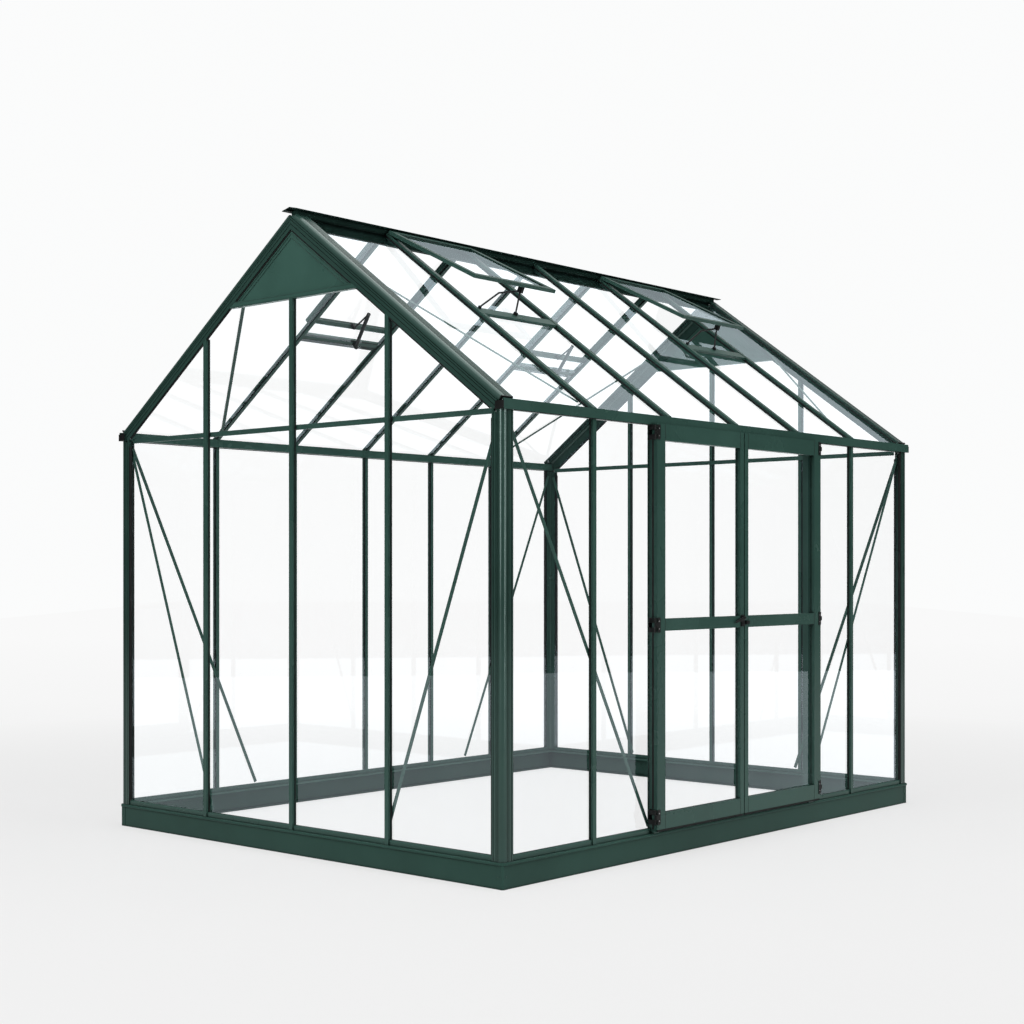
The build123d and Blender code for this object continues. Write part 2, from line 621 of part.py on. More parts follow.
def opener_raised(x):
    """Opener of a raised front vent: push rod up from the cross bar and a bowed spring to the roof bar."""
    foot = x + OPENER_FRONT
    clip = OPENER_CLIP / 2
    piece = opened(slope_block(foot - clip, foot + clip, -30, 0, VENT_FOOT - 28, VENT_FOOT))
    top = (foot, *slope_point(-22, VENT_FOOT - 14, VENT_OPEN))
    low = VENT_SILL_START + 14
    piece += slope_block(x - 10 - clip, x - 10 + clip, -VENT_SILL_DROP, 12, low - clip, low + clip)
    piece += rod(OPENER_ROD, (x - 10, *slope_point(5, low)), top)
    anchor = x - SIDE_BAY / 2 + BAR_WIDTH / 2 + 8
    elbow = (x - 106, *slope_point(65, VENT_FOOT + 9))
    piece += rod(OPENER_ROD, top, elbow, (anchor, *slope_point(5, VENT_SILL_START + 8)))
    return piece + slope_block(anchor - 6, anchor + 6, -VENT_SILL_DROP, 10, VENT_SILL_START + 2, low)


def opener_folded(x):
    """Opener of a closed vent, drawn on the front slope: cylinder up from the cross bar, rod to the vent."""
    clip, foot = OPENER_CLIP / 2, VENT_FOOT - 34
    hang, low = x + OPENER_BACK, VENT_SILL_START + SILL_TUCK_UPPER + 4
    inner = (x, *slope_point(-40, VENT_SILL_START - 224))
    piece = slope_block(hang - clip, hang + clip, -BAR_CAP - 34, -BAR_CAP, low, low + OPENER_CLIP)
    piece += rod(OPENER_TUBE, inner, (hang, *slope_point(-38, low + clip)))
    piece += slope_block(x - clip, x + clip, -30, 0, foot - clip, foot + clip)
    return piece + rod(OPENER_ROD, inner, (x, *slope_point(-26, foot)))


# ---------------------------------------------------------------- doorway and doors
def jamb():
    """Post at the -X side of the doorway, with the proud strip that the leaf closes against."""
    post = block(-JAMB_OUT_X, -JAMB_IN_X, -WALL_Y, -WALL_Y + BAR_DEPTH, BASE_TOP, GUTTER_BOTTOM)
    strip_y = DOOR_BACK_Y + JAMB_CLEAR
    return post + block(-JAMB_OUT_X, -JAMB_IN_X, strip_y, -WALL_Y, BASE_TOP, GUTTER_BOTTOM - 2)


def mid_rail_edges():
    return MID_RAIL_Z - MID_RAIL / 2, MID_RAIL_Z + MID_RAIL / 2


def door_leaf():
    """Left leaf: an outer stile, a meeting stile, three rails and a drip strip."""
    x0, x1 = -DOOR_HALF, -DOOR_GAP / 2
    y0, y1 = DOOR_FRONT_Y, DOOR_BACK_Y
    leaf = block(x0, x1, y0, y1, DOOR_BOTTOM, DOOR_TOP)
    low, high = mid_rail_edges()
    for z0, z1 in ((DOOR_BOTTOM + BOTTOM_RAIL, low), (high, DOOR_TOP - TOP_RAIL)):
        leaf -= block(x0 + STILE, x1 - MEETING_STILE, y0 - 1, y1 + 1, z0, z1)
    middle = (y0 + y1) / 2
    drip = DOOR_DRIP_THICK / 2
    return leaf + block(x0 + 2, x1, middle - drip, middle + drip, DOOR_BOTTOM - DOOR_DRIP, DOOR_BOTTOM)


def door_panes():
    """The left leaf's two panes."""
    x0, x1 = -DOOR_HALF + STILE + GLASS_GAP, -DOOR_GAP / 2 - MEETING_STILE - GLASS_GAP
    y0 = DOOR_FRONT_Y + DOOR_GLASS_BACK
    low, high = mid_rail_edges()
    return [block(x0, x1, y0, y0 + GLASS, DOOR_BOTTOM + BOTTOM_RAIL, low - GLASS_GAP),
            block(x0, x1, y0, y0 + GLASS, high, DOOR_TOP - TOP_RAIL - GLASS_GAP)]


def hinge_heights():
    half = HINGE_HEIGHT / 2
    return DOOR_BOTTOM + HINGE_INSET_BOTTOM + half, MID_RAIL_Z, DOOR_TOP - HINGE_INSET_TOP - half


def fixed_hinge(z):
    """Half of a left hinge that stays on the jamb: plate behind the leaf, arms, two knuckles and the pin."""
    third, half = HINGE_HEIGHT / 3, HINGE_HEIGHT / 2
    plate_y = -WALL_Y - HINGE_PLATE - HINGE_CLEAR
    piece = block(-HINGE_X - HINGE_PLATE, -JAMB_OUT_X, plate_y, plate_y + HINGE_PLATE, z - half, z + half)
    piece += Pos(-HINGE_X, HINGE_Y, z) * Cylinder(HINGE_PIN, HINGE_HEIGHT)
    for side in (-1, 1):
        middle = z + side * third
        reach = third / 2 - 0.25
        piece += Pos(-HINGE_X, HINGE_Y, middle) * Cylinder(HINGE_KNUCKLE, 2 * reach)
        piece += block(-HINGE_X - HINGE_PLATE, -HINGE_X + 1, HINGE_Y, plate_y + HINGE_PLATE, middle - reach,
                       middle + reach)
    return piece


def moving_hinge(z):
    """Half of a left hinge that turns with the leaf: plate on the stile's front and the middle knuckle."""
    reach = HINGE_HEIGHT / 6 - 0.25
    half = HINGE_HEIGHT / 2
    front = DOOR_FRONT_Y - HINGE_PLATE
    piece = block(-DOOR_HALF, -DOOR_HALF + HINGE_LEAF, front, DOOR_FRONT_Y, z - half, z + half)
    piece += block(-HINGE_X - 3, -DOOR_HALF, front, DOOR_FRONT_Y, z - reach, z + reach)
    piece += block(-HINGE_X - 3, -HINGE_X + 3, front, HINGE_Y, z - reach, z + reach)
    piece += Pos(-HINGE_X, HINGE_Y, z) * Cylinder(HINGE_KNUCKLE, 2 * reach)
    return piece - Pos(-HINGE_X, HINGE_Y, z) * Cylinder(HINGE_PIN + HINGE_CLEAR, HINGE_HEIGHT)


def threshold():
    """Low bar across the doorway, on the base flange."""
    return block(-JAMB_IN_X, JAMB_IN_X, -WALL_Y, -WALL_Y + BAR_DEPTH, BASE_TOP, BASE_TOP + THRESHOLD_HEIGHT)


def latch():
    """Latch body on the left leaf's meeting stile."""
    x1 = -DOOR_GAP / 2 - 2
    foot = MID_RAIL_Z - LATCH_FOOT
    return block(x1 - LATCH_WIDTH, x1, DOOR_FRONT_Y - LATCH_PROUD, DOOR_FRONT_Y, foot, LEVER_Z + 2 * SPINDLE)


def keeper():
    """Keeper on the right leaf's meeting stile."""
    x0, half = DOOR_GAP / 2 + 2, KEEPER_HEIGHT / 2
    low = MID_RAIL_Z - half / 2 - half
    return block(x0, x0 + KEEPER_WIDTH, DOOR_FRONT_Y - KEEPER_PROUD, DOOR_FRONT_Y, low, low + KEEPER_HEIGHT)


def door_handle():
    """Lever that slopes down to -X, and its spindle."""
    start = LEVER_BACK_Y + LEVER_GAP - GLASS_GAP
    middle = (start + LEVER_FRONT_Y) / 2
    spindle = Pos(LEVER_X, middle, LEVER_Z) * Rot(90, 0, 0) * Cylinder(SPINDLE, start - LEVER_FRONT_Y)
    lever = block(-LEVER_LENGTH, LEVER_TAIL, LEVER_FRONT_Y, LEVER_BACK_Y, -LEVER_DEPTH / 2, LEVER_DEPTH / 2)
    return spindle + Pos(LEVER_X, 0, LEVER_Z) * Rot(0, -LEVER_DROP, 0) * lever


# ---------------------------------------------------------------- nodes
def save(name, *solids):
    """Moves the pieces to the origin of the whole object and writes them as one file."""
    moved = [Pos(0, ORIGIN_SHIFT, 0) * solid for solid in solids]
    export_step(Compound(children=moved), f"parts/{name}.step")


def main():
    os.makedirs("parts", exist_ok=True)
    front_rail, left_rail = base_rails()
    save("base_front", front_rail)
    save("base_back", flip_y(front_rail))
    save("base_left", left_rail)
    save("base_right", flip_x(left_rail))
    save("base_corner_covers", *base_covers())
    save("sills", *sills())
    post = corner_post()
    save("posts", post, flip_x(post), flip_y(post), flip_x(flip_y(post)))
    save("front_bars", *[side_bar(i) for i in FRONT_BARS])
    save("back_bars", *[flip_y(side_bar(i)) for i in range(1, SIDE_BAYS)])
    bars = [gable_bar(i) for i in range(1, GABLE_BAYS)]
    save("gable_bars_left", *bars)
    save("gable_bars_right", *[flip_x(bar) for bar in bars])
    save("tie_bars", tie_bar(), flip_x(tie_bar()))
    channel = gutter()
    save("gutter_front", channel)
    save("gutter_back", flip_y(channel))
    caps = [gutter_cap(), rafter_cap()]
    caps += [flip_x(cap) for cap in caps]
    save("end_caps", *caps, *[flip_y(cap) for cap in caps])
    beam = rafter()
    save("rafters_front", beam, flip_x(beam))
    save("rafters_back", flip_y(beam), flip_x(flip_y(beam)))
    roof_bars = [roof_bar(i) for i in range(1, SIDE_BAYS)]
    save("roof_bars_front", *roof_bars)
    save("roof_bars_back", *[flip_y(bar) for bar in roof_bars])
    save("ridge_bar", ridge_bar())
    panel = apex_panel()
    save("apex_panels", panel, flip_x(panel))
    save("braces", *wall_braces(), *roof_braces())
    save("glass_front", *front_glass())
    save("glass_back", *back_glass())
    gable = gable_glass()
    save("glass_left", *gable)
    save("glass_right", *[flip_x(pane) for pane in gable])
    roof = roof_glass()
    save("glass_roof_front", *roof)
    save("glass_roof_back", *[flip_y(pane) for pane in roof])
    sills_front = [vent_sill(bay) for bay in VENT_BAYS]
    save("vent_sills", *sills_front, *[flip_y(piece) for piece in sills_front])
    rings = [vent_ring(bay) for bay in VENT_BAYS]
    save("vents_front", *[opened(ring) for ring in rings])
    save("vents_back", *[flip_y(ring) for ring in rings])
    panes = [vent_pane(bay) for bay in VENT_BAYS]
    save("vent_glass", *[opened(pane) for pane in panes], *[flip_y(pane) for pane in panes])
    middles = [side_x(bay + 0.5) for bay in VENT_BAYS]
    raised = [opener_raised(x) for x in middles]
    folded = [flip_y(opener_folded(x)) for x in middles]
    save("vent_openers", *raised, *folded)
    left_jamb = jamb()
    save("door_jambs", left_jamb, flip_x(left_jamb))
    save("threshold", threshold())
    leaf = door_leaf()
    save("left_door", leaf)
    save("right_door", flip_x(leaf))
    leaf_panes = door_panes()
    save("left_door_glass", *leaf_panes)
    save("right_door_glass", *[flip_x(pane) for pane in leaf_panes])
    fixed = [fixed_hinge(z) for z in hinge_heights()]
    save("fixed_hinges", *fixed, *[flip_x(piece) for piece in fixed])
    moving = [moving_hinge(z) for z in hinge_heights()]
    save("left_door_hinges", *moving)
    save("right_door_hinges", *[flip_x(piece) for piece in moving])
    save("left_door_latch", latch())
    save("right_door_keeper", keeper())
    save("door_handle", door_handle())


main()
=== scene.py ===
"""Glass greenhouse: finishes, fittings, glazing seals, floor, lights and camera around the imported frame."""
import bpy
from math import cos, radians, sin, tan
from mathutils import Matrix, Vector


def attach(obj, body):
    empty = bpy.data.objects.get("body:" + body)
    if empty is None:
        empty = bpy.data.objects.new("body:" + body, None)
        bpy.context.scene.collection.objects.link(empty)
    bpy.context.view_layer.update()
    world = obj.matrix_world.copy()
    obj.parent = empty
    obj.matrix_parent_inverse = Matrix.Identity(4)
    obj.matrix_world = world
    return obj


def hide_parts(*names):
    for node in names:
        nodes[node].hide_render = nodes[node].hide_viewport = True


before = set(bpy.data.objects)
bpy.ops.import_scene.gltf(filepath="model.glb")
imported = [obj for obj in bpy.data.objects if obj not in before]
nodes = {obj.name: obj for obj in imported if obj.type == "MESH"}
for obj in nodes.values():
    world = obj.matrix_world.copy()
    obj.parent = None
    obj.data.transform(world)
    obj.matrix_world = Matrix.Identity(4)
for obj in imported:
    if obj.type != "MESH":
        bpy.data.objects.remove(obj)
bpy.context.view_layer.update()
bpy.ops.object.select_all(action="DESELECT")


# ---------------------------------------------------------------- finishes
GREEN = (0.0270, 0.0650, 0.0525)
COOL_SHEEN = (0.78, 1.0, 0.96, 1.0)      # tint of the coat's highlights
DUST = (0.16, 0.16, 0.145, 1.0)
DUST_TOP = 0.16                          # metres above the ground
PANE_ANGLES = (0.062, 0.165)             # Fresnel values between which a pane turns from clear to shiny
PANE_SHINE = (0.095, 0.31)
PANE_LOSS = (0.008, 0.11)                # light kept back by each face
PANE_TINT = (0.80, 0.93, 1.0, 1.0)


def new_finish(name):
    """Empty finish, with its node tree and its shader."""
    material = bpy.data.materials.new(name)
    material.use_nodes = True
    tree = material.node_tree
    return material, tree, tree.nodes["Principled BSDF"]


def noise(tree, coords, scale, detail=3.0, roughness=0.55):
    """Soft random pattern fixed to the piece; a larger scale gives a finer one."""
    node = tree.nodes.new("ShaderNodeTexNoise")
    node.inputs["Scale"].default_value = scale
    node.inputs["Detail"].default_value = detail
    node.inputs["Roughness"].default_value = roughness
    tree.links.new(coords.outputs["Object"], node.inputs["Vector"])
    return node


def grey(level):
    return (level, level, level, 1.0)


def ramp(tree, source, stops):
    """Colours a value by stops of (place, colour) and returns the colour."""
    node = tree.nodes.new("ShaderNodeValToRGB")
    node.color_ramp.elements[0].position = stops[0][0]
    node.color_ramp.elements[0].color = stops[0][1]
    node.color_ramp.elements[1].position = stops[-1][0]
    node.color_ramp.elements[1].color = stops[-1][1]
    for place, colour in stops[1:-1]:
        node.color_ramp.elements.new(place).color = colour
    tree.links.new(source, node.inputs["Fac"])
    return node.outputs["Color"]


def bump(tree, shader, source, strength, distance):
    """Fine relief in a shader's normal; distance in metres."""
    node = tree.nodes.new("ShaderNodeBump")
    node.inputs["Strength"].default_value = strength
    node.inputs["Distance"].default_value = distance
    tree.links.new(source, node.inputs["Height"])
    tree.links.new(node.outputs["Normal"], shader.inputs["Normal"])


def between(tree, value, low, high, start, end):
    """Maps a value's range low..high onto start..end, held at both ends."""
    node = tree.nodes.new("ShaderNodeMapRange")
    node.inputs["From Min"].default_value = low
    node.inputs["From Max"].default_value = high
    node.inputs["To Min"].default_value = start
    node.inputs["To Max"].default_value = end
    tree.links.new(value, node.inputs["Value"])
    return node.outputs["Result"]


def spread(tree, pattern, low, high):
    """Spreads the middle of a noise pattern over low..high."""
    return between(tree, pattern.outputs["Fac"], 0.3, 0.7, low, high)


def product(tree, first, second):
    """Two values multiplied, held between 0 and 1."""
    node = tree.nodes.new("ShaderNodeMath")
    node.operation = "MULTIPLY"
    node.use_clamp = True
    tree.links.new(first, node.inputs[0])
    tree.links.new(second, node.inputs[1])
    return node.outputs[0]


def shaded_corners(tree, colour, reach):
    """Paints shade into a colour where faces meet closely, as in grooves and joints."""
    corner = tree.nodes.new("ShaderNodeAmbientOcclusion")
    corner.samples = 6
    corner.inputs["Distance"].default_value = reach
    depth = between(tree, corner.outputs["AO"], 0.30, 0.90, 0.10, 1.0)
    mix = tree.nodes.new("ShaderNodeMix")
    mix.data_type = "RGBA"
    mix.blend_type = "MULTIPLY"
    mix.inputs["Factor"].default_value = 1.0
    tree.links.new(colour, mix.inputs["A"])
    tree.links.new(depth, mix.inputs["B"])
    return mix.outputs["Result"]


def dusted(tree, coords, colour, share):
    """Adds specks of dust to a colour, up to a share of them at the ground and none above DUST_TOP."""
    place = tree.nodes.new("ShaderNodeSeparateXYZ")
    tree.links.new(coords.outputs["Object"], place.inputs["Vector"])
    speck = noise(tree, coords, 26.0, 5.0, 0.7)
    low_down = between(tree, place.outputs["Z"], DUST_TOP, 0.0, 0.0, share)
    mix = tree.nodes.new("ShaderNodeMix")
    mix.data_type = "RGBA"
    mix.inputs["B"].default_value = DUST
    tree.links.new(product(tree, low_down, speck.outputs["Fac"]), mix.inputs["Factor"])
    tree.links.new(colour, mix.inputs["A"])
    return mix.outputs["Result"]


def green(tone):
    return tuple(tone * part for part in GREEN) + (1.0,)


def powder_coat(name, tone=1.0, rough=0.27, dust=0.0, gloss=0.24, reach=0.016):
    """Satin green coat: faint mottling, fine orange peel, painted shade in grooves and joints, and dust low
    down where asked.
    """
    material, tree, shader = new_finish(name)
    coords = tree.nodes.new("ShaderNodeTexCoord")
    cloud = noise(tree, coords, 2.2, 4.0)
    grain = noise(tree, coords, 900.0, 2.0)
    source = ramp(tree, cloud.outputs["Fac"], [(0.35, green(0.90 * tone)), (0.65, green(1.10 * tone))])
    if dust:
        source = dusted(tree, coords, source, dust)
    # Painted shade in grooves and joints, over the distance `reach` in metres.
    if reach:
        source = shaded_corners(tree, source, reach)
    tree.links.new(source, shader.inputs["Base Color"])
    tree.links.new(spread(tree, cloud, rough - 0.05, rough + 0.07), shader.inputs["Roughness"])
    bump(tree, shader, grain.outputs["Fac"], 0.06, 0.0004)
    shader.inputs["Specular IOR Level"].default_value = gloss
    shader.inputs["Specular Tint"].default_value = COOL_SHEEN
    return material


def moulded_black(name, rough=0.42):
    """Black nylon or black-coated hardware with a fine texture."""
    material, tree, shader = new_finish(name)
    coords = tree.nodes.new("ShaderNodeTexCoord")
    cloud = noise(tree, coords, 14.0, 3.0)
    grain = noise(tree, coords, 1400.0, 2.0)
    stops = [(0.3, (0.002, 0.0025, 0.0025, 1)), (0.7, (0.006, 0.0065, 0.0065, 1))]
    tree.links.new(ramp(tree, cloud.outputs["Fac"], stops), shader.inputs["Base Color"])
    tree.links.new(spread(tree, cloud, rough - 0.06, rough + 0.08), shader.inputs["Roughness"])
    bump(tree, shader, grain.outputs["Fac"], 0.12, 0.0003)
    shader.inputs["Specular IOR Level"].default_value = 0.2
    return material


def brushed_steel(name):
    """Zinc-plated steel with faint dulling."""
    material, tree, shader = new_finish(name)
    coords = tree.nodes.new("ShaderNodeTexCoord")
    cloud = noise(tree, coords, 60.0, 3.0)
    stops = [(0.3, (0.42, 0.43, 0.43, 1)), (0.7, (0.60, 0.61, 0.61, 1))]
    tree.links.new(ramp(tree, cloud.outputs["Fac"], stops), shader.inputs["Base Color"])
    shader.inputs["Metallic"].default_value = 1.0
    tree.links.new(spread(tree, cloud, 0.28, 0.42), shader.inputs["Roughness"])
    return material


def clear_glass(name):
    """Toughened pane: clear with a cool tint, mirroring more the flatter it is seen, slightly wavy."""
    material, tree, shader = new_finish(name)
    tree.nodes.remove(shader)
    coords = tree.nodes.new("ShaderNodeTexCoord")
    wave = noise(tree, coords, 1.1, 2.0)
    smear = noise(tree, coords, 5.0, 4.0, 0.65)
    angle = tree.nodes.new("ShaderNodeFresnel")
    angle.inputs["IOR"].default_value = 1.5
    side = tree.nodes.new("ShaderNodeNewGeometry")
    outer = between(tree, side.outputs["Backfacing"], 0.0, 1.0, 1.0, 0.0)
    shine = product(tree, between(tree, angle.outputs["Fac"], *PANE_ANGLES, *PANE_SHINE),
                    spread(tree, smear, 0.94, 1.06))
    shine = product(tree, shine, outer)
    loss = product(tree, between(tree, angle.outputs["Fac"], *PANE_ANGLES, *PANE_LOSS), outer)
    through = tree.nodes.new("ShaderNodeBsdfTransparent")
    tree.links.new(between(tree, loss, 0.0, 1.0, 1.0, 0.0), through.inputs["Color"])
    mirror = tree.nodes.new("ShaderNodeBsdfAnisotropic")
    mirror.inputs["Roughness"].default_value = 0.0
    tree.links.new(ramp(tree, shine, [(0.0, grey(0.0)), (1.0, PANE_TINT)]), mirror.inputs["Color"])
    bump(tree, mirror, wave.outputs["Fac"], 0.01, 0.001)
    both = tree.nodes.new("ShaderNodeAddShader")
    tree.links.new(through.outputs["BSDF"], both.inputs[0])
    tree.links.new(mirror.outputs["BSDF"], both.inputs[1])
    tree.links.new(both.outputs["Shader"], tree.nodes["Material Output"].inputs["Surface"])
    return material


frame_green = powder_coat("green_powder_coat")
base_green = powder_coat("green_base_coat", 0.92, rough=0.36, dust=0.02, gloss=0.09)
# Darker copy of the frame green for the ridge: painted shade.
ridge_painted_shade_green = powder_coat("green_ridge_painted_shade_coat", 0.34, rough=0.4, gloss=0.02)
strap_green = powder_coat("green_strap_coat", reach=0.0)
# Lighter copy of the frame green for the apex panels: painted light.
panel_painted_light_green = powder_coat("green_panel_painted_light_coat", 1.28, reach=0.0)
# Darker copy of the frame green for posts and rafters, painted shade, on a glossier and smoother coat; its
# painted shade reaches further into the grooves.
fluted_painted_shade_green = powder_coat("green_fluted_painted_shade_coat", 0.72, rough=0.22, gloss=0.46, reach=0.020)
black_fitting = moulded_black("black_fittings_nylon")
black_rubber = moulded_black("black_glazing_rubber", rough=0.6)
bright_steel = brushed_steel("zinc_plated_steel")
glass = clear_glass("clear_toughened_glass")

FINISHES = {
    "ridge_bar": ridge_painted_shade_green,
    "apex_panels": panel_painted_light_green,
    **dict.fromkeys(("braces", "tie_bars"), strap_green),
    **dict.fromkeys(("posts", "rafters_front", "rafters_back"), fluted_painted_shade_green),
    **dict.fromkeys(("end_caps", "fixed_hinges", "left_door_hinges", "right_door_hinges", "left_door_latch",
                     "right_door_keeper", "door_handle", "vent_openers"), black_fitting),
}


def finish_of(name):
    """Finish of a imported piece: glass and base by their names, others as listed, else the frame's green."""
    if "glass" in name:
        return glass
    if name.startswith("base_"):
        return base_green
    return FINISHES.get(name, frame_green)


for name, node in nodes.items():
    node.data.materials.clear()
    node.data.materials.append(finish_of(name))


# ---------------------------------------------------------------- places, in mm about the base's middle
BACK = 27.0                      # from there to the origin, along Y
WALL_X, WALL_Y = 1718.0, 1318.0
SILL_TOP, GUTTER_BOTTOM, GUTTER_TOP = 135.0, 1982.0, 2026.0
APEX, PITCH = 2989.0, radians(36.0)
SLOPE = tan(PITCH)
BAY_X, BAY_Y = 556.0, 634.0
CAP_HALF = 12.0                  # half a bar's outer face
DOOR_EDGE, DOOR_FRONT = 712.0, -1363.0
X, Y, Z = Vector((1, 0, 0)), Vector((0, 1, 0)), Vector((0, 0, 1))


def at(x, y, z):
    """Point in the scene, in metres."""
    return Vector((x, y + BACK, z)) / 1000.0


def on_roof(x, down, up, side=-1):
    """Point of a roof slope: `down` from the ridge line, `up` from the bars' outer faces."""
    y = side * (down * cos(PITCH) + up * sin(PITCH))
    return at(x, y, APEX - down * sin(PITCH) + up * cos(PITCH))


def slope_out(side=-1):
    """Outward direction of a roof slope."""
    return Vector((0, side * sin(PITCH), cos(PITCH)))


# ---------------------------------------------------------------- making small parts
def pick(obj, test):
    """Selects the vertices that pass the test, with the edges and faces between them, in edit mode."""
    bpy.ops.object.mode_set(mode="OBJECT")
    for vertex in obj.data.vertices:
        vertex.select = test(vertex.co)
    for edge in obj.data.edges:
        edge.select = all(obj.data.vertices[i].select for i in edge.vertices)
    for face in obj.data.polygons:
        face.select = all(obj.data.vertices[i].select for i in face.vertices)
    bpy.ops.object.mode_set(mode="EDIT")


def put(obj, place, along, out):
    """Turns a piece drawn about the origin, its X to `along` and its Z to `out`, and moves it to its place."""
    x, z = along.normalized(), out.normalized()
    y = z.cross(x).normalized()
    z = x.cross(y)
    obj.matrix_world = Matrix.Translation(place) @ Matrix((x, y, z)).transposed().to_4x4()
    bpy.ops.object.transform_apply(location=True, rotation=True, scale=True)


def strip(start, end, out, width, thick, soften=0.6):
    """Straight profile from start to end with softened outer edges; its width lies across, in mm."""
    run = end - start
    bpy.ops.mesh.primitive_cube_add(size=1.0)
    bar = bpy.context.object
    bpy.ops.object.mode_set(mode="EDIT")
    bpy.ops.mesh.select_mode(type="EDGE")
    bpy.ops.mesh.select_all(action="SELECT")
    size = (run.length, width / 1000.0, thick / 1000.0)
    bpy.ops.transform.resize(value=size, center_override=(0, 0, 0))
    pick(bar, lambda co: co.z > 0)
    bpy.ops.mesh.bevel(offset=soften / 1000.0, segments=1, affect="EDGES")
    bpy.ops.object.mode_set(mode="OBJECT")
    put(bar, (start + end) / 2, run, out)
    return bar


def dome_head(place, out, radius, height, socket=True):
    """Low button head with a rounded rim and, where asked, a recess for the driver."""
    bpy.ops.mesh.primitive_cylinder_add(vertices=14, radius=radius / 1000.0, depth=height / 1000.0)
    head = bpy.context.object
    bpy.ops.object.mode_set(mode="EDIT")
    bpy.ops.mesh.select_mode(type="FACE")
    bpy.ops.mesh.select_all(action="DESELECT")
    pick(head, lambda co: co.z > 0)
    bpy.ops.mesh.bevel(offset=0.4 * height / 1000.0, segments=2, affect="EDGES")
    if socket:
        pick(head, lambda co: co.z > 0.49 * height / 1000.0)
        bpy.ops.mesh.inset(thickness=0.35 * radius / 1000.0)
        bpy.ops.mesh.extrude_region_move(TRANSFORM_OT_translate={"value": (0, 0, -0.4 * height / 1000.0)})
    bpy.ops.object.mode_set(mode="OBJECT")
    put(head, place, out.orthogonal(), out)
    return head


def joined(name, pieces, finish, body="frame"):
    """Joins pieces into one named object that moves with a body."""
    bpy.ops.object.select_all(action="DESELECT")
    for piece in pieces:
        piece.select_set(True)
    bpy.context.view_layer.objects.active = pieces[0]
    bpy.ops.object.join()
    whole = bpy.context.object
    whole.name = name
    whole.data.name = name
    whole.data.materials.clear()
    whole.data.materials.append(finish)
    bpy.ops.object.shade_smooth_by_angle(angle=radians(35))
    bpy.ops.object.select_all(action="DESELECT")
    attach(whole, body)
    return whole


# ---------------------------------------------------------------- glazing rubbers
RUBBER_IN = 15.4                 # middle of the rubber behind the bars' outer faces
RUBBER = (3.6, 3.4)              # its width and thickness
BESIDE = CAP_HALF + 1.8          # from a bar's middle to its rubber's
GABLE_TOPS = {-1: 2436.0, 0: 2574.0, 1: 2436.0}
ROOF_RUN = (36.0, 1618.0)        # down the slope, from the ridge head to the gutter


def rubber_piece(name, pieces):
    joined(name, pieces, black_rubber)


def wall_rubber():
    """Black rubber on both sides of every wall bar."""
    pieces = []
    for column, side in [(-2, -1), (2, -1)] + [(column, 1) for column in (-2, -1, 0, 1, 2)]:
        for edge in (-BESIDE, BESIDE):
            y = side * (WALL_Y - RUBBER_IN)
            ends = [at(column * BAY_X + edge, y, z) for z in (SILL_TOP, GUTTER_BOTTOM - 1)]
            pieces.append(strip(*ends, side * Y, *RUBBER))
    for side in (-1, 1):
        for bar, top in GABLE_TOPS.items():
            for edge in (-BESIDE, BESIDE):
                x = side * (WALL_X - RUBBER_IN)
                ends = [at(x, bar * BAY_Y + edge, z) for z in (SILL_TOP, top)]
                pieces.append(strip(*ends, side * X, *RUBBER))
    rubber_piece("wall_glazing_rubber", pieces)


def post_rubber():
    """Wide black rubber along the posts' inner edges."""
    pieces = []
    for sx in (-1, 1):
        for sy in (-1, 1):
            x, y = sx * (WALL_X - 66.0), sy * (WALL_Y - 9.0)
            front = [at(x, y, z) for z in (SILL_TOP, GUTTER_BOTTOM - 1)]
            pieces.append(strip(*front, sy * Y, 6.0, 14.0, 1.5))
            x, y = sx * (WALL_X - 9.0), sy * (WALL_Y - 66.5)
            gable = [at(x, y, z) for z in (SILL_TOP, GUTTER_BOTTOM - 34)]
            pieces.append(strip(*gable, sx * X, 7.0, 14.0, 1.5))
    rubber_piece("post_glazing_rubber", pieces)


def roof_rubber():
    """Black rubber on both sides of every roof bar and at the rafters' inner edges."""
    pieces = []
    lines = [column * BAY_X + edge for column in (-2, -1, 0, 1, 2) for edge in (-BESIDE, BESIDE)]
    lines += [-WALL_X + 74.8, WALL_X - 74.8]
    for side in (-1, 1):
        for x in lines:
            ends = [on_roof(x, down, -RUBBER_IN, side) for down in ROOF_RUN]
            pieces.append(strip(*ends, slope_out(side), *RUBBER))
    rubber_piece("roof_glazing_rubber", pieces)


# ---------------------------------------------------------------- gable trim
def gable_trim():
    """Thin beads on the apex panels and a black strip under the rafters' gable faces, painted shadow."""
    metal, rubber = [], []
    for sx in (-1, 1):
        out = sx * X
        for sy in (-1, 1):
            x = sx * (WALL_X - 4.0)
            for depth, width in ((88.0, 4.0), (104.0, 3.0)):
                top = APEX - depth / cos(PITCH)
                foot = (top - 2604.0) / SLOPE
                metal.append(strip(at(x, sy * 3.0, top - 4.0), at(x, sy * foot, 2606.0), out, width, 3.0))
            # Black strip along the foot of each rafter's gable face: painted shadow.
            ends = [on_roof(sx * (WALL_X - 5.0), down, -77.0, sy) for down in (60.0, 1592.0)]
            rubber.append(strip(*ends, out, 6.5, 6.0, 1.0))
        for height, width in ((2581.0, 4.0), (2598.0, 3.0)):
            half = (APEX - 90.0 - height) / SLOPE - 6.0
            ends = [at(sx * (WALL_X - 0.6), y, height) for y in (-half, half)]
            metal.append(strip(*ends, out, width, 2.4))
    joined("apex_panel_beads", metal, frame_green)
    rubber_piece("rafter_edge_painted_shadow", rubber)


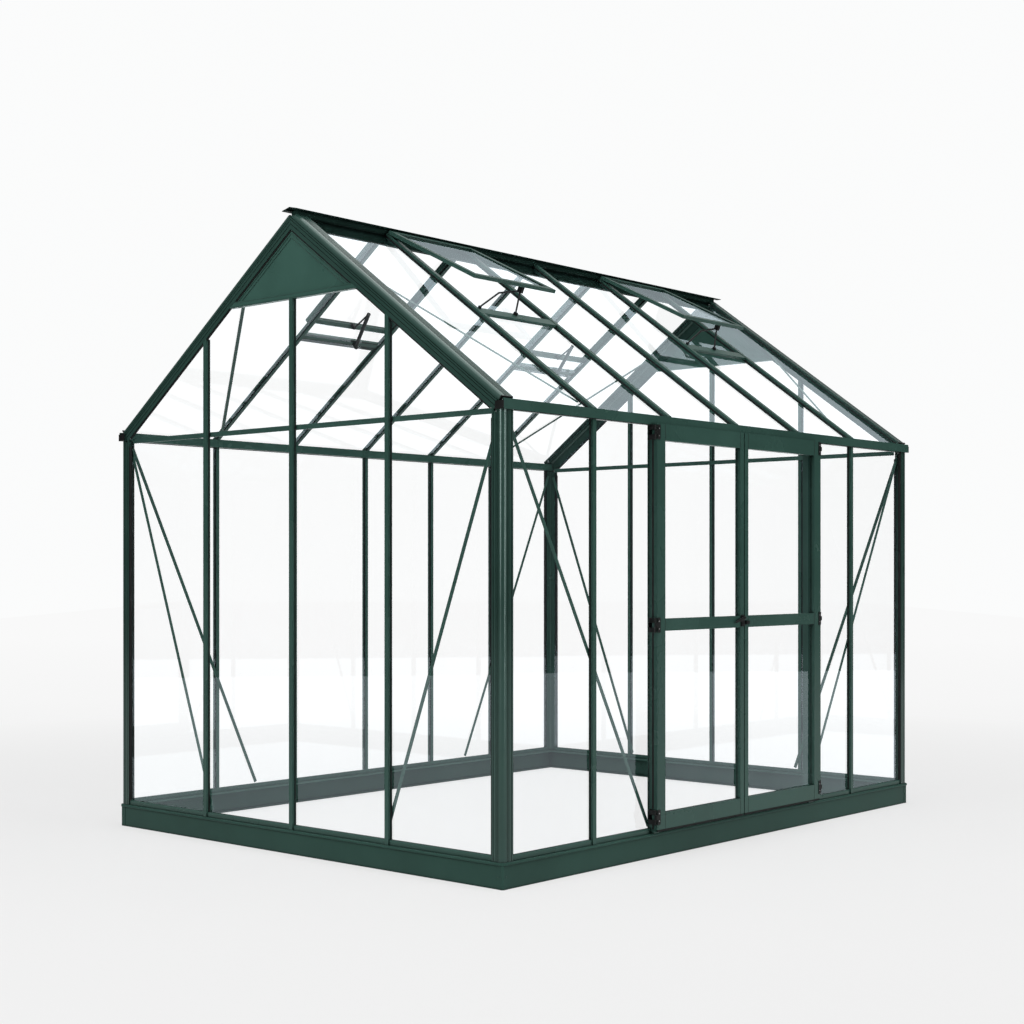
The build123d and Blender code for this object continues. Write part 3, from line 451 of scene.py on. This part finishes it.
def gutter_lips():
    """Rolled lip along each gutter's top and a dark line under its face, painted shadow."""
    lips, gutter_shadow_strips = [], []
    for side in (-1, 1):
        ends = [at(x, side * 1324.6, GUTTER_TOP - 2.0) for x in (-1722.0, 1722.0)]
        lips.append(strip(*ends, side * Y, 4.0, 6.4, 1.4))
        # Black strip under the gutter's face: painted shadow.
        ends = [at(x, side * 1322.0, GUTTER_BOTTOM - 1.2) for x in (-1652.0, 1652.0)]
        gutter_shadow_strips.append(strip(*ends, side * Y, 2.2, 6.0, 0.5))
    joined("gutter_lips", lips, frame_green)
    rubber_piece("gutter_foot_painted_shadow", gutter_shadow_strips)


# ---------------------------------------------------------------- doors
DOORS = ((-1, "left_door"), (1, "right_door"))
HINGE_ROWS = (191.5, 1067.0, 1946.5)
SEAL_RUNS = ((136.0, 155.0), (228.0, 1030.0), (1104.0, 1910.0))      # between the hinges
RAIL_RUNS = ((134.0, 208.0), (1039.0, 1095.0), (1909.0, 1986.0))
STILE_EDGES = (35.0, 650.0)      # from the doors' meeting line
HUB_X, HUB_Z = -17.0, 1086.0
GRIP = (0.082, 0.0135, 0.0076)   # length, width and thickness in metres
GRIP_DROP = radians(14.7)


def door_trim(side, body):
    """Black seals along a leaf's hinge edge and foot, and the hinge screws."""
    seals = []
    for run in SEAL_RUNS:
        ends = [at(side * (DOOR_EDGE + 0.8), DOOR_FRONT + 25.0, z) for z in run]
        seals.append(strip(*ends, side * X, 9.0, 1.4, 0.4))
    foot = [at(side * x, DOOR_FRONT + 5.5, 129.0) for x in (8.0, 706.0)]
    seals.append(strip(*foot, -Y, 8.6, 5.0))
    joined(body + "_seals", seals, black_rubber, body)
    heads = []
    for z in HINGE_ROWS:
        for step in (-17.0, 17.0):
            place = at(side * (DOOR_EDGE - 12.0), DOOR_FRONT - 3.1, z + step)
            heads.append(dome_head(place, -Y, 2.4, 1.2))
    joined(body + "_hinge_screws", heads, bright_steel, body)


def door_joints(side, body):
    """Fine dark lines where a leaf's rails butt against its stiles."""
    lines = []
    for x in STILE_EDGES:
        for low, high in RAIL_RUNS:
            ends = [at(side * x, DOOR_FRONT - 0.1, z) for z in (low + 0.5, high - 0.5)]
            lines.append(strip(*ends, -Y, 1.8, 0.7, 0.2))
    joined(body + "_joint_lines", lines, black_rubber, body)


def lever_handle():
    """Lever with a tapered grip, a rounded end and a round hub, in place of the plain one."""
    length = GRIP[0]
    bpy.ops.mesh.primitive_cube_add(size=1.0)
    grip = bpy.context.object
    bpy.ops.object.mode_set(mode="EDIT")
    bpy.ops.mesh.select_mode(type="VERT")
    bpy.ops.mesh.select_all(action="SELECT")
    bpy.ops.transform.resize(value=GRIP, center_override=(0, 0, 0))
    bpy.ops.mesh.subdivide(number_cuts=3)
    pick(grip, lambda co: co.x < 0.003 - length / 2)
    bpy.ops.transform.resize(value=(1, 0.62, 0.7), center_override=(-length / 2, 0, 0))
    pick(grip, lambda co: abs(co.x + length / 4) < 0.002)
    bpy.ops.transform.resize(value=(1, 0.86, 0.9), center_override=(-length / 4, 0, 0))
    bpy.ops.object.mode_set(mode="OBJECT")
    soften = grip.modifiers.new("round_over", "BEVEL")
    soften.width = 0.0016
    soften.segments = 2
    soften.limit_method = "ANGLE"
    bpy.ops.object.modifier_apply(modifier="round_over")
    along = Vector((cos(GRIP_DROP), 0, sin(GRIP_DROP)))
    put(grip, at(HUB_X, DOOR_FRONT - 15.2, HUB_Z) - along * 0.0375, along, -Y)
    hub = dome_head(at(HUB_X, DOOR_FRONT - 12.4, HUB_Z), -Y, 8.5, 11.4, socket=False)
    handle = joined("lever_handle", [grip, hub], black_fitting, "handle")
    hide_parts("door_handle")


def key_cylinder():
    """Round key escutcheon below the lever."""
    ring = dome_head(at(HUB_X - 1.0, DOOR_FRONT - 7.0, HUB_Z - 28.0), -Y, 6.5, 2.0)
    joined("key_escutcheon", [ring], black_fitting, "left_door")


# ---------------------------------------------------------------- bolts
def frame_bolts():
    """Button heads that hold the base's corner covers."""
    heads = []
    for sx in (-1, 1):
        for sy in (-1, 1):
            for place, out in ((at(sx * (WALL_X - 20.0), sy * (WALL_Y + 1.9), 52.0), sy * Y),
                               (at(sx * (WALL_X + 1.9), sy * (WALL_Y - 24.0), 52.0), sx * X)):
                heads.append(dome_head(place, out, 4.5, 1.8))
    joined("base_cover_bolts", heads, frame_green)


wall_rubber()
post_rubber()
roof_rubber()
gable_trim()
gutter_lips()
for side, body in DOORS:
    door_trim(side, body)
for side, body in DOORS:
    door_joints(side, body)
lever_handle()
key_cylinder()
frame_bolts()


# ---------------------------------------------------------------- studio, in metres
VIEW_TURN = radians(41.379)      # viewing direction from +X towards +Y
CAMERA_PLACE = (-6.8135, -5.8301, 1.3184)
FLOOR_NEAR, FLOOR_FAR, FLOOR_HALF = -16.0, 60.0, 14.0
FLOOR_PAINT = ((0.3, grey(0.64)), (0.7, grey(0.66)))
FLOOR_GLOW = ((0.05, grey(0.868)), (0.18, grey(0.896)), (0.35, grey(0.922)), (1.0, grey(0.948)))
GLOW_END = 22.0                  # behind the middle, where the glow is brightest
GLOW_FADE = (2.0, 7.0)           # from the middle, where the paint gives way to the glow
BOUNCE_GREY = (0.30, 0.31, 0.31, 1.0)
BACKDROP = (0.965, 0.97, 0.97, 1.0)
ROOM_TONES = ((0.0, (0.03, 0.032, 0.032, 1)), (0.25, (0.06, 0.063, 0.063, 1)),
              (0.6, (0.60, 0.61, 0.61, 1)), (1.0, grey(0.9)))
SKY_TONES = ((0.12, (0.05, 0.055, 0.055, 1)), (0.42, (0.96, 0.97, 0.97, 1)))
LIGHTS = (                       # name, place, aim, width and height, power in watts
    ("overhead_softbox", (0.0, -1.0, 7.5), (0, 0, 0), (7.0, 7.0), 290),
    ("left_softbox", (-9.0, -1.0, 3.6), (-1.7, 0, 1.6), (3.0, 4.5), 400),
    ("front_softbox", (1.0, -9.5, 3.2), (0.0, 0, 1.2), (4.0, 4.0), 260),
    ("front_strip", (-1.3, -9.0, 2.4), (-1.7, 0, 1.6), (0.35, 5.5), 150),
)


def mixed(tree, factor, first, second):
    """Mixes two shaders."""
    mix = tree.nodes.new("ShaderNodeMixShader")
    for socket, source in zip(mix.inputs, (factor, first, second)):
        tree.links.new(source, socket)
    return mix.outputs["Shader"]


def measured(tree, coords, operation):
    """A length or a product of the place on the floor, as a value."""
    node = tree.nodes.new("ShaderNodeVectorMath")
    node.operation = operation
    tree.links.new(coords.outputs["Object"], node.inputs[0])
    return node


def floor_finish(along):
    """Pale paint near the middle, a glow that fades to white far behind it, and a soft bounce."""
    material, tree, shader = new_finish("floor_paint")
    coords = tree.nodes.new("ShaderNodeTexCoord")
    cloud = noise(tree, coords, 0.7, 3.0)
    tree.links.new(ramp(tree, cloud.outputs["Fac"], FLOOR_PAINT), shader.inputs["Base Color"])
    shader.inputs["Roughness"].default_value = 0.8
    shader.inputs["Specular IOR Level"].default_value = 0.1
    behind = measured(tree, coords, "DOT_PRODUCT")
    behind.inputs[1].default_value = along
    away = between(tree, behind.outputs["Value"], 0.0, GLOW_END, 0.0, 1.0)
    glow = tree.nodes.new("ShaderNodeEmission")
    tree.links.new(ramp(tree, away, FLOOR_GLOW), glow.inputs["Color"])
    fade = between(tree, measured(tree, coords, "LENGTH").outputs["Value"], *GLOW_FADE, 0.72, 1.0)
    shown = mixed(tree, fade, shader.outputs["BSDF"], glow.outputs["Emission"])
    bounce = tree.nodes.new("ShaderNodeBsdfDiffuse")
    bounce.inputs["Color"].default_value = BOUNCE_GREY
    ray = tree.nodes.new("ShaderNodeLightPath")
    seen = mixed(tree, ray.outputs["Is Diffuse Ray"], shown, bounce.outputs["BSDF"])
    tree.links.new(seen, tree.nodes["Material Output"].inputs["Surface"])
    return material


def studio_floor():
    """Pale floor, turned to the view, under and far around the greenhouse."""
    bpy.ops.mesh.primitive_plane_add(size=1.0)
    floor = bpy.context.object
    floor.name = "studio_floor"
    along = Vector((cos(VIEW_TURN), sin(VIEW_TURN), 0.0))
    across = Vector((-sin(VIEW_TURN), cos(VIEW_TURN), 0.0))
    corners = [run * along + sway * across for sway in (-FLOOR_HALF, FLOOR_HALF)
               for run in (FLOOR_NEAR, FLOOR_FAR)]
    for vertex, place in zip(floor.data.vertices, corners):
        vertex.co = place
    floor.data.materials.append(floor_finish(along))


def studio_world():
    """White backdrop for the eye, white sky for the panes and a darker soft room that lights the metal."""
    world = bpy.data.worlds.new("studio_room")
    bpy.context.scene.world = world
    world.use_nodes = True
    tree = world.node_tree
    backdrop = tree.nodes["Background"]
    backdrop.inputs["Color"].default_value = BACKDROP
    coords = tree.nodes.new("ShaderNodeTexCoord")
    place = tree.nodes.new("ShaderNodeSeparateXYZ")
    tree.links.new(coords.outputs["Generated"], place.inputs["Vector"])
    shades = []
    for stops in (ROOM_TONES, SKY_TONES):
        wall = tree.nodes.new("ShaderNodeBackground")
        tree.links.new(ramp(tree, place.outputs["Z"], stops), wall.inputs["Color"])
        shades.append(wall.outputs["Background"])
    ray = tree.nodes.new("ShaderNodeLightPath")
    around = mixed(tree, ray.outputs["Is Singular Ray"], *shades)
    whole = mixed(tree, ray.outputs["Is Camera Ray"], around, backdrop.outputs["Background"])
    tree.links.new(whole, tree.nodes["World Output"].inputs["Surface"])


def soft_light(name, place, aim, size, power):
    """Area light aimed at a point and hidden from the camera."""
    lamp = bpy.data.lights.new(name, "AREA")
    lamp.shape = "RECTANGLE"
    lamp.size, lamp.size_y = size
    lamp.energy = power
    holder = bpy.data.objects.new(name, lamp)
    bpy.context.scene.collection.objects.link(holder)
    holder.location = place
    holder.rotation_euler = (Vector(aim) - Vector(place)).to_track_quat("-Z", "Y").to_euler()
    holder.visible_camera = False


def front_corner_camera():
    """Camera at eye height off the front left corner, with a little upward shift."""
    camera = bpy.data.objects.new("camera", bpy.data.cameras.new("camera"))
    bpy.context.scene.collection.objects.link(camera)
    camera.location = CAMERA_PLACE
    camera.rotation_euler = (radians(90), 0, VIEW_TURN - radians(90))
    camera.data.sensor_width = 36.0
    camera.data.lens = 58.354
    camera.data.shift_y = 0.0565
    camera.data.clip_end = 200.0
    bpy.context.scene.camera = camera


studio_floor()
studio_world()
for light in LIGHTS:
    soft_light(*light)
front_corner_camera()

scene = bpy.context.scene
scene.view_settings.view_transform = "Standard"
scene.view_settings.look = "None"
scene.cycles.transparent_max_bounces = 48
scene.cycles.max_bounces = 12
